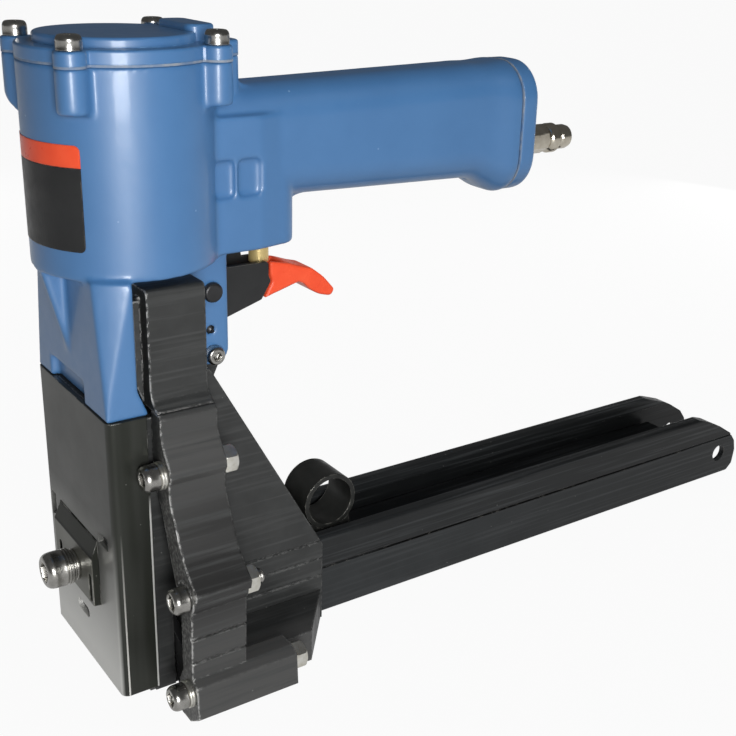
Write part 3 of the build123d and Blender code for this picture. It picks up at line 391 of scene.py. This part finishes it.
finishes = {
    "blue_enamel": {
        "name": "blueEnamel", "base": (0.050, 0.158, 0.352), "shade": (0.056, 0.170, 0.372),
        "mottleScale": 45.0, "grainScale": 520.0, "rough": (0.41, 0.48), "bump": 0.06, "bumpDepth": 0.00025,
        "specular": 0.85, "coat": 0.3, "coatRough": 0.12,
        # painted shadow in the blind holes of the trigger lug
        "holeShade": {"x": 0.0274, "z": 0.1385, "half": 0.0016, "mouth": 0.0127, "soft": 0.0001,
                 "paintedShade": (0.004, 0.006, 0.010)},
        "wear": (0.16, 0.36, 0.64), "wearWidth": 0.0006, "dust": (0.4, 0.56, 0.76), "dustScale": 210.0},
    # blue paint mottled with pale grey; the pale patches are partly the gasket's own colour and partly a
    # painted highlight along the seam
    "gasket_fibre": {
        "name": "gasketFibreAndSeamSheen", "base": (0.075, 0.155, 0.30), "shade": (0.27, 0.30, 0.34),
        "mottleScale": 130.0, "grainScale": 1500.0, "rough": (0.5, 0.7), "bump": 0.2},
    "chrome_screws": {
        "name": "platedScrew", "base": (0.36, 0.352, 0.33), "shade": (0.48, 0.47, 0.445), "metal": 1.0,
        "mottleScale": 300.0, "grainScale": 1400.0, "rough": (0.20, 0.32), "bump": 0.06,
        "wear": (0.7, 0.69, 0.65), "wearWidth": 0.0004},
    "zinc_nuts": {
        "name": "zincNut", "base": (0.70, 0.68, 0.60), "shade": (0.84, 0.83, 0.78), "metal": 1.0,
        "mottleScale": 350.0, "grainScale": 1300.0, "rough": (0.26, 0.42), "bump": 0.08,
        "wear": (0.8, 0.79, 0.74), "wearWidth": 0.0004},
    "liner_alloy": {
        "name": "linerAlloy", "base": (0.62, 0.63, 0.64), "shade": (0.7, 0.71, 0.72), "metal": 1.0,
        "stretch": (0.2, 0.2, 4), "rough": (0.25, 0.4)},
    "seal_rubber": {
        "name": "sealRubber", "base": (0.016, 0.016, 0.016), "shade": (0.03, 0.03, 0.03),
        "grainScale": 1200.0, "rough": (0.6, 0.8), "bump": 0.2},
    "brass_valve": {
        "name": "turnedBrass", "base": (0.66, 0.50, 0.20), "shade": (0.76, 0.60, 0.28), "metal": 0.45,
        "grainScale": 1500.0, "stretch": (0.3, 0.3, 3), "rough": (0.16, 0.3), "bump": 0.12,
        "wear": (0.85, 0.76, 0.5), "wearWidth": 0.0005},
    "valve_plastic": {
        "name": "valvePlastic", "base": (0.7, 0.69, 0.64), "shade": (0.8, 0.79, 0.74), "rough": (0.4, 0.55),
        "bump": 0.08},
    "spring_steel": {
        "name": "springWire", "base": (0.42, 0.42, 0.42), "shade": (0.52, 0.52, 0.52), "metal": 1.0,
        "rough": (0.3, 0.45)},
    "plug_chrome": {
        "name": "platedPlug", "base": (0.56, 0.51, 0.42), "shade": (0.70, 0.65, 0.55), "metal": 1.0,
        "mottleScale": 250.0, "grainScale": 1300.0, "stretch": (3, 0.4, 0.4), "rough": (0.12, 0.22),
        "bump": 0.08, "wear": (0.85, 0.83, 0.78), "wearWidth": 0.0005},
    "trigger_black": {
        "name": "triggerBlack", "base": (0.013, 0.0135, 0.014), "shade": (0.019, 0.0195, 0.02),
        "grainScale": 1100.0, "rough": (0.36, 0.5), "bump": 0.12, "specular": 0.4,
        "wear": (0.30, 0.29, 0.27), "wearWidth": 0.0006, "wearMetal": 0.8},
    "trigger_red": {
        "name": "triggerRed", "base": (0.84, 0.082, 0.030), "shade": (0.90, 0.105, 0.04),
        "mottleScale": 90.0, "grainScale": 700.0, "rough": (0.24, 0.36), "bump": 0.06, "specular": 0.3,
        "wear": (0.94, 0.2, 0.1), "wearWidth": 0.0008},
    "dark_pins": {
        "name": "darkPin", "base": (0.030, 0.030, 0.031), "shade": (0.05, 0.05, 0.052), "metal": 0.6,
        "rough": (0.24, 0.38), "bump": 0.08, "wear": (0.4, 0.4, 0.4), "wearWidth": 0.0005},
    "nose_plate": {
        "name": "nosePlate", "base": (0.055, 0.057, 0.052), "shade": (0.072, 0.074, 0.068), "metal": 0.5,
        "specular": 0.2, "mottleScale": 26.0, "grainScale": 700.0, "roughScale": 60.0, "rough": (0.32, 0.38),
        "bump": 0.025,
        # painted light on the plate: sheen below, shaded flanges with reflection streaks, highlight lines,
        # lit and shaded gauge faces
        "plateLight": {"paintedSheen": (0.74, 0.74, 0.71), "sheenFrom": (0.075, 0.012),
                  "flangeShade": (0.028, 0.030, 0.025), "flangeFrom": (0.0333, 0.0347),
                  "streakScale": 150.0, "streakStretch": (1, 1, 0.08), "streakSpread": (0.35, 0.8),
                  "frontHighlightLine": (-0.0222, 0.0003),  # place and half width
                  "rearHighlightLine": (-0.0103, 0.0004), "rearHighlightTop": (0.088, 0.080),
                  "gaugeFrom": (-0.02483, -0.02488), "gaugeSideShade": (0.03, 0.032, 0.027),
                  "gaugeFaceLit": (0.15, 0.15, 0.13), "gaugeFaceFrom": (-0.0274, -0.0277),
                  "gaugeTopShade": (0.010, 0.011, 0.009), "gaugeTopFrom": (0.0572, 0.0577)},
        "wear": (0.72, 0.71, 0.67), "wearWidth": 0.0006, "wearScale": 90.0,
        "dust": (0.6, 0.6, 0.56), "dustScale": 420.0},
    "black_anodised": {
        "name": "blackExtrusion", "base": (0.019, 0.0199, 0.0197), "shade": (0.028, 0.0292, 0.0288),
        "mottleScale": 70.0, "grainScale": 620.0, "stretch": (0.035, 1, 1),
        # struts: greys by height as painted light and shade; front faces rubbed, partly painted light
        "struts": {"from": (0.036, 0.042), "height": 0.17, "warmth": 0.98,
                   "shadeByHeight": ((0.0, 0.056), (0.20, 0.046), (0.30, 0.014), (0.45, 0.022), (0.62, 0.058),
                             (0.69, 0.056), (0.72, 0.023)),
                   "front": (0.21, 0.21, 0.20), "frontFrom": (-0.0064, -0.0069),
                   "speckScale": 900.0, "speckSpread": (0.42, 0.66)},
        "streak": (0.040, 0.0415, 0.041), "rough": (0.34, 0.52), "bump": 0.14,
        "wear": (0.85, 0.85, 0.83), "wearWidth": 0.0012, "wearMetal": 0.8, "wearScale": 480.0,
        "wearSpread": (0.46, 0.54), "wearFront": (-0.0045, -0.0062),
        "dust": (0.4, 0.4, 0.38), "dustScale": 380.0},
    "tool_steel": {
        "name": "toolSteel", "base": (0.30, 0.30, 0.30), "shade": (0.40, 0.40, 0.39), "metal": 1.0,
        "grainScale": 1000.0, "stretch": (1, 1, 0.2), "rough": (0.28, 0.42),
        "wear": (0.75, 0.75, 0.73), "wearWidth": 0.0006},
    "magazine_black": {
        "name": "magazineBlack", "base": (0.019, 0.0210, 0.0222), "shade": (0.026, 0.0284, 0.030),
        "mottleScale": 50.0, "grainScale": 700.0, "stretch": (0.02, 1, 1),
        # walls: darker towards the rear and above the groove, painted shade along the groove
        "walls": {"rear": (0.009, 0.0100, 0.0104), "rearFrom": (0.10, 0.31), "rearShare": 0.8,
                  "groove": (0.004, 0.0042, 0.0043), "grooveShadeAt": (0.02235, 0.0007),
                  "upperFrom": (0.0222, 0.0228), "upperShare": 0.5},
        "streak": (0.032, 0.0345, 0.036), "rough": (0.26, 0.40), "specular": 0.3,
        "wear": (0.28, 0.27, 0.25), "wearWidth": 0.0005, "wearMetal": 0.8, "wearSpread": (0.55, 0.72),
        "dust": (0.35, 0.35, 0.33), "dustScale": 380.0},
    "pusher_dark": {
        "name": "pusherDark", "base": (0.012, 0.0125, 0.0115), "shade": (0.02, 0.0205, 0.019),
        "mottleScale": 120.0, "rough": (0.3, 0.46), "bump": 0.12, "specular": 0.35,
        "wear": (0.40, 0.39, 0.35), "wearWidth": 0.0007, "wearMetal": 0.8},
}
paint = {slot: makeFinish(f) for slot, f in finishes.items()}
print("finishes made:", len(paint))


def dress(obj, slot):
    obj.data.materials.clear()
    obj.data.materials.append(paint[slot])


for part in frame["record"]["subparts"]:
    dress(nodes[part["node"]], part["material_slot"])
print("CAD nodes dressed")


# Castings: the solid's corners drawn into soft rounds, left sharp where another part meets them
castings = {
    "body_casting": {
        "piece": "bodyCasting", "body": "frame", "slot": "blue_enamel", "voxel": 0.0007, "rounds": 10,
        "faceShare": 0.22,
        "keep": [(2, 0.2399), (0, 0.1720), (2, 0.1191)],  # axis and level of each joint face
        "spots": [(0.0274, -0.0130, 0.1385), (0.0274, 0.0130, 0.1385)]},  # small holes
    "handle_end_cap": {
        "piece": "endCapCasting", "body": "frame", "slot": "blue_enamel", "voxel": 0.0006, "rounds": 6,
        "faceShare": 0.3, "keep": [(0, 0.1728)], "spots": []},
    "trigger_tip": {
        "piece": "fingerPiece", "body": "trigger", "slot": "trigger_red", "voxel": 0.00045, "rounds": 16,
        "faceShare": 0.4, "keep": [], "spots": []},
}
rounding = {"seam": 0.00001, "step": 0.5, "least": 0.04, "keepReach": 0.0016, "spotReach": 0.0044,
            "spotPower": 4}


def addPiece(name, mesh, body, slot):
    obj = bpy.data.objects.new(name, mesh)
    bpy.context.scene.collection.objects.link(obj)
    mesh.materials.clear()
    mesh.materials.append(paint[slot])
    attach(obj, body)
    return obj


def bake(obj):
    seen = obj.evaluated_get(bpy.context.evaluated_depsgraph_get())
    mesh = bpy.data.meshes.new_from_object(seen)
    obj.modifiers.clear()
    obj.data = mesh
    return mesh


def freedom(distance, reach):
    return np.clip(distance / reach, rounding["least"], 1.0)


def relax(mesh, rounds, keep, spots):
    count = len(mesh.vertices)
    place = np.empty(count * 3)
    mesh.vertices.foreach_get("co", place)
    place = place.reshape(-1, 3)
    ends = np.empty(len(mesh.edges) * 2, dtype=np.int32)
    mesh.edges.foreach_get("vertices", ends)
    a, b = ends.reshape(-1, 2).T
    neighbours = np.bincount(ends, minlength=count)
    free = np.ones(count)
    for axis, level in keep:
        free = np.minimum(free, freedom(np.abs(place[:, axis] - level), rounding["keepReach"]))
    for spot in spots:
        away = freedom(np.linalg.norm(place - spot, axis=1), rounding["spotReach"])
        free = np.minimum(free, away ** rounding["spotPower"])
    for _ in range(rounds):
        mean = np.empty_like(place)
        for k in range(3):
            total = np.bincount(a, place[b, k], count) + np.bincount(b, place[a, k], count)
            mean[:, k] = total / neighbours
        place += rounding["step"] * free[:, None] * (mean - place)
    mesh.vertices.foreach_set("co", place.ravel())
    mesh.update()


def softCasting(node, c):
    obj = addPiece(c["piece"], nodes[node].data.copy(), c["body"], c["slot"])
    weld = obj.modifiers.new("joinSeams", "WELD")
    weld.merge_threshold = rounding["seam"]
    skin = obj.modifiers.new("evenSkin", "REMESH")
    skin.mode = "VOXEL"
    skin.voxel_size = c["voxel"]
    relax(bake(obj), c["rounds"], c["keep"], c["spots"])
    fewer = obj.modifiers.new("fewerFaces", "DECIMATE")
    fewer.ratio = c["faceShare"]
    mesh = bake(obj)
    mesh.polygons.foreach_set("use_smooth", [True] * len(mesh.polygons))
    mesh.materials.clear()
    mesh.materials.append(paint[c["slot"]])
    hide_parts(node)
    print("casting", c["piece"], len(mesh.polygons), "faces")


for node, c in castings.items():
    softCasting(node, c)


# Turned pieces: rings of points, each with a height, a radius and an outline
turning = {"steps": 72, "sharp": 33, "knurlDepth": 0.022}


def roundLine(angle):
    return 1.0


def hexLine(angle):
    return cos(pi / 6) / cos(angle % (pi / 3) - pi / 6)


def hexTurned(angle):
    return hexLine(angle + pi / 6)


def knurlLine(angle):
    return 1.0 - turning["knurlDepth"] * (round(angle / (2 * pi) * turning["steps"]) % 2)


def turnedGroup(name, parts, body, slot):
    verts, faces = [], []
    steps = turning["steps"]
    for rings, spot in parts:
        first = len(verts)
        for height, radius, line in rings:
            for i in range(steps):
                angle = 2 * pi * i / steps
                r = radius * line(angle)
                verts.append(spot @ Vector((r * cos(angle), r * sin(angle), height)))
        for ring in range(len(rings) - 1):
            low = first + ring * steps
            for i in range(steps):
                j = (i + 1) % steps
                faces.append((low + i, low + j, low + steps + j, low + steps + i))
        last = first + (len(rings) - 1) * steps
        faces.append(tuple(first + i for i in reversed(range(steps))))
        faces.append(tuple(last + i for i in range(steps)))
    mesh = bpy.data.meshes.new(name)
    mesh.from_pydata(verts, [], faces)
    mesh.polygons.foreach_set("use_smooth", [True] * len(mesh.polygons))
    mesh.set_sharp_from_angle(angle=radians(turning["sharp"]))
    return addPiece(name, mesh, body, slot)


def turnedPiece(name, rings, spots, body, slot):
    return turnedGroup(name, [(rings, spot) for spot in spots], body, slot)


def pointed(place, axis):
    turn = Vector(axis).to_track_quat("Z", "Y").to_matrix().to_4x4()
    return Matrix.Translation(place) @ turn


def shaped(rows, height, radius):
    return [(up * height, out * radius, line) for up, out, line in rows]


# Socket screws: rows are shares of the head's height and of its own or the key's radius
screwShape = {
    "tip": 0.7, "lead": 0.0004, "runOut": 0.0003, "root": 0.9, "rootAt": 0.1, "crestAt": 0.6,
    "head": [(0, 0.95, roundLine), (0.05, 1, roundLine), (0.12, 1, roundLine), (0.15, 1, knurlLine),
             (0.56, 1, knurlLine), (0.59, 1, roundLine), (0.74, 0.98, roundLine), (0.85, 0.93, roundLine),
             (0.94, 0.85, roundLine), (0.985, 0.77, roundLine), (1, 0.70, roundLine)],
    "key": [(1, 1.16, roundLine), (0.97, 1.02, hexLine), (0.94, 1, hexLine), (0.45, 1, hexLine),
            (0.33, 0.12, roundLine)],
}


def threadRings(r, low, high, pitch):
    rings = []
    for i in range(int((high - low) / pitch)):
        rings.append((low + (i + screwShape["rootAt"]) * pitch, r * screwShape["root"], roundLine))
        rings.append((low + (i + screwShape["crestAt"]) * pitch, r, roundLine))
    return rings


def socketRings(s):
    tip = -s["length"]
    threadEnd = tip + s["threadLength"]
    return [(tip, s["r"] * screwShape["tip"], roundLine),
            *threadRings(s["r"], tip + screwShape["lead"], threadEnd, s["pitch"]),
            (threadEnd + screwShape["runOut"], s["r"], roundLine), (0, s["r"], roundLine),
            *shaped(screwShape["head"], s["headH"], s["headR"]),
            *shaped(screwShape["key"], s["headH"], s["keyR"])]


# Where the solids have their screws, read from their boxes
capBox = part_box("cap_screws")
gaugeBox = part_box("gauge_screw")
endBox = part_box("end_cap_screws")
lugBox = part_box("lug_screw")

capScrew = {"r": 0.0025, "length": 0.016, "headR": 0.00425, "headH": 0.005, "keyR": 0.0023,
            "threadLength": 0.012, "pitch": 0.0008}
capSpots = []
for x in (capBox[0][0] + capScrew["headR"], capBox[1][0] - capScrew["headR"]):
    for y in (capBox[0][1] + capScrew["headR"], capBox[1][1] - capScrew["headR"]):
        capSpots.append(pointed((x, y, capBox[1][2] - capScrew["headH"]), (0, 0, 1)))
screws = turnedPiece("capScrews", socketRings(capScrew), capSpots, "frame", "chrome_screws")
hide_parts("cap_screws")

endScrew = {"r": 0.002, "length": 0.020, "headR": 0.0035, "headH": 0.0036, "keyR": 0.0017,
            "threadLength": 0.015, "pitch": 0.0007}
endSpots = []
for z in (endBox[0][2] + endScrew["headR"], endBox[1][2] - endScrew["headR"]):
    endSpots.append(pointed((endBox[1][0] - endScrew["headH"], 0, z), (1, 0, 0)))
screws = turnedPiece("endCapScrews", socketRings(endScrew), endSpots, "frame", "chrome_screws")
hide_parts("end_cap_screws")

gaugeScrew = {"r": 0.005, "length": 0.0203, "headR": 0.0072, "headH": 0.0080, "keyR": 0.0042,
              "threadLength": 0.012, "pitch": 0.0015}
gaugeHeight = (gaugeBox[0][2] + gaugeBox[1][2]) / 2
gaugeSpot = pointed((gaugeBox[0][0] + gaugeScrew["headH"], 0, gaugeHeight), (-1, 0, 0))
screws = turnedPiece("gaugeScrew", socketRings(gaugeScrew), [gaugeSpot], "depth_gauge", "chrome_screws")
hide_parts("gauge_screw")

lugScrew = {"r": 0.002, "length": 0.030, "headR": 0.00375, "headH": 0.004, "keyR": 0.0018,
            "threadLength": 0.012, "pitch": 0.0007}
lugSpot = pointed(((lugBox[0][0] + lugBox[1][0]) / 2, lugBox[0][1] + lugScrew["headH"],
                   (lugBox[0][2] + lugBox[1][2]) / 2), (0, -1, 0))
screws = turnedPiece("lugScrew", socketRings(lugScrew), [lugSpot], "frame", "chrome_screws")
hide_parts("lug_screw")

# Strut screws with their nuts, and washers under some of the heads; across is measured from the middle
strutScrew = {
    "r": 0.003, "headR": 0.005, "headH": 0.006, "keyR": 0.0029, "threadLength": 0.014, "pitch": 0.001,
    "seat": -0.007, "washerR": 0.0053,
    "spots": [{"across": 0.0405, "height": 0.0976, "washer": 0.0024, "length": 0.0316, "nutSeat": 0.0156},
              {"across": 0.0560, "height": 0.0540, "washer": 0.0, "length": 0.0316, "nutSeat": 0.0156},
              {"across": 0.0570, "height": 0.0134, "washer": 0.0022, "length": 0.0520, "nutSeat": 0.0360}]}
strutNut = {
    "corner": 0.00577, "height": 0.006, "hole": 0.00302,
    "outside": [(0, 0.88, roundLine), (0.06, 0.97, hexTurned), (0.12, 1, hexTurned), (0.76, 1, hexTurned),
                (0.89, 0.94, hexTurned), (1, 0.80, roundLine)],
    "inside": [(1, 1.12, roundLine), (0.9, 1, roundLine)]}
washerShape = [(0, 0.95, roundLine), (0.15, 1, roundLine), (0.42, 1, roundLine), (0.5, 0.94, roundLine),
               (0.58, 1, roundLine), (0.85, 1, roundLine), (1, 0.95, roundLine)]


def washerRings(r, hole, thick):
    return [(0, hole, roundLine), *shaped(washerShape, thick, r), (thick, hole, roundLine)]


def nutRings(n):
    return [(0, n["hole"], roundLine), *shaped(n["outside"], n["height"], n["corner"]),
            *shaped(n["inside"], n["height"], n["hole"])]


boltParts, nutParts = [], []
for side in (-1, 1):
    for spot in strutScrew["spots"]:
        y, z = side * spot["across"], spot["height"]
        head = pointed((strutScrew["seat"] - spot["washer"], y, z), (-1, 0, 0))
        boltParts.append((socketRings({**strutScrew, "length": spot["length"]}), head))
        if spot["washer"]:
            under = pointed((strutScrew["seat"], y, z), (-1, 0, 0))
            nutParts.append((washerRings(strutScrew["washerR"], strutNut["hole"], spot["washer"]), under))
        nutParts.append((nutRings(strutNut), pointed((spot["nutSeat"], y, z), (1, 0, 0))))
screws = turnedGroup("strutBolts", boltParts, "frame", "chrome_screws")
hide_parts("strut_bolts")
nuts = turnedGroup("strutNuts", nutParts, "frame", "zinc_nuts")
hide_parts("strut_nuts")
print("screws made")


# Air plug, measured back from its end: hexagon, groove, collar, waist, rounded tail with a bore
airPlug = {"hex": 0.0066, "hexEnd": 0.0146, "hexFront": 0.93, "hexBack": 0.9, "groove": 0.0056,
           "collar": 0.0066, "collarEnd": 0.0084, "collarFront": 0.95, "collarBack": 0.94, "waist": 0.0050,
           "tail": 0.0055, "tailStart": 0.0060, "tailRound": 0.9, "tailTip": 0.74,
           "bore": 0.0030, "boreDepth": 0.012, "edge": 0.0006}


def plugRings(p, length, out):
    edge, hexEnd, collarEnd, tailStart = p["edge"], p["hexEnd"], p["collarEnd"], p["tailStart"]
    return [(-length, p["tail"], roundLine),
            (-out, p["tail"], roundLine),
            (-out, p["hex"] * p["hexFront"], roundLine),
            (-out + edge, p["hex"], hexTurned),
            (-hexEnd - edge, p["hex"], hexTurned),
            (-hexEnd, p["hex"] * p["hexBack"], roundLine),
            (-hexEnd + edge, p["groove"], roundLine),
            (-hexEnd + 2 * edge, p["groove"], roundLine),
            (-hexEnd + 3 * edge, p["collar"] * p["collarFront"], roundLine),
            (-hexEnd + 4 * edge, p["collar"], roundLine),
            (-collarEnd - edge, p["collar"], roundLine),
            (-collarEnd, p["collar"] * p["collarBack"], roundLine),
            (-collarEnd + edge, p["waist"], roundLine),
            (-tailStart - edge, p["waist"], roundLine),
            (-tailStart, p["tail"], roundLine),
            (-4 * edge, p["tail"], roundLine),
            (-edge, p["tail"] * p["tailRound"], roundLine),
            (0, p["tail"] * p["tailTip"], roundLine),
            (0, p["bore"], roundLine),
            (-p["boreDepth"], p["bore"], roundLine)]


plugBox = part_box("air_plug")
plugLength = plugBox[1][0] - plugBox[0][0]
plugOut = plugBox[1][0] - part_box("handle_end_cap")[1][0]
plugSpot = pointed((plugBox[1][0], 0, (plugBox[0][2] + plugBox[1][2]) / 2), (1, 0, 0))
plug = turnedPiece("airPlug", plugRings(airPlug, plugLength, plugOut), [plugSpot], "frame", "plug_chrome")
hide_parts("air_plug")

gaugeWasher = {"thick": 0.0024, "outer": 0.0072, "inner": 0.0062, "hole": 0.00502}
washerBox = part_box("gauge_washer")
washerHeight = (washerBox[0][2] + washerBox[1][2]) / 2
washerParts = []
for place, radius in enumerate((gaugeWasher["outer"], gaugeWasher["inner"])):
    spot = pointed((washerBox[0][0] + place * gaugeWasher["thick"], 0, washerHeight), (1, 0, 0))
    washerParts.append((washerRings(radius, gaugeWasher["hole"], gaugeWasher["thick"]), spot))
washers = turnedGroup("gaugeWashers", washerParts, "depth_gauge", "chrome_screws")
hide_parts("gauge_washer")
print("plug and washers made")


# Plain two-colour panel on the front of the cylinder
panel = {"radius": 0.03386, "thick": 0.00014, "half": 45.0, "low": 0.1784, "split": 0.2072, "high": 0.2147,
         "corner": 0.0022, "columns": 60}


def panelSheet(name, low, high, roundLow, roundHigh, slot):
    verts, faces = [], []
    r, n, c = panel["radius"], panel["columns"], panel["corner"]
    reach = radians(panel["half"]) * r
    for i in range(n + 1):
        t = -cos(pi * i / n) * reach  # columns crowd towards the rounded corners
        inset = max(0.0, abs(t) - (reach - c))
        rise = c - sqrt(max(0.0, c * c - inset * inset))
        angle = pi + t / r
        for depth in (0, panel["thick"]):
            x, y = (r + depth) * cos(angle), (r + depth) * sin(angle)
            verts.append((x, y, low + (rise if roundLow else 0)))
            verts.append((x, y, high - (rise if roundHigh else 0)))
    for i in range(n):
        a, b = 4 * i, 4 * (i + 1)
        faces += [(a + 2, b + 2, b + 3, a + 3), (b, a, a + 1, b + 1)]
        faces += [(a, b, b + 2, a + 2), (b + 1, a + 1, a + 3, b + 3)]
    faces += [(0, 2, 3, 1), (4 * n + 2, 4 * n, 4 * n + 1, 4 * n + 3)]
    mesh = bpy.data.meshes.new(name)
    mesh.from_pydata(verts, [], faces)
    mesh.update()
    addPiece(name, mesh, "frame", slot)


panelSheet("panelLower", panel["low"], panel["split"], True, False, "trigger_black")
panelSheet("panelUpper", panel["split"], panel["high"], False, True, "trigger_red")
print("panel made")
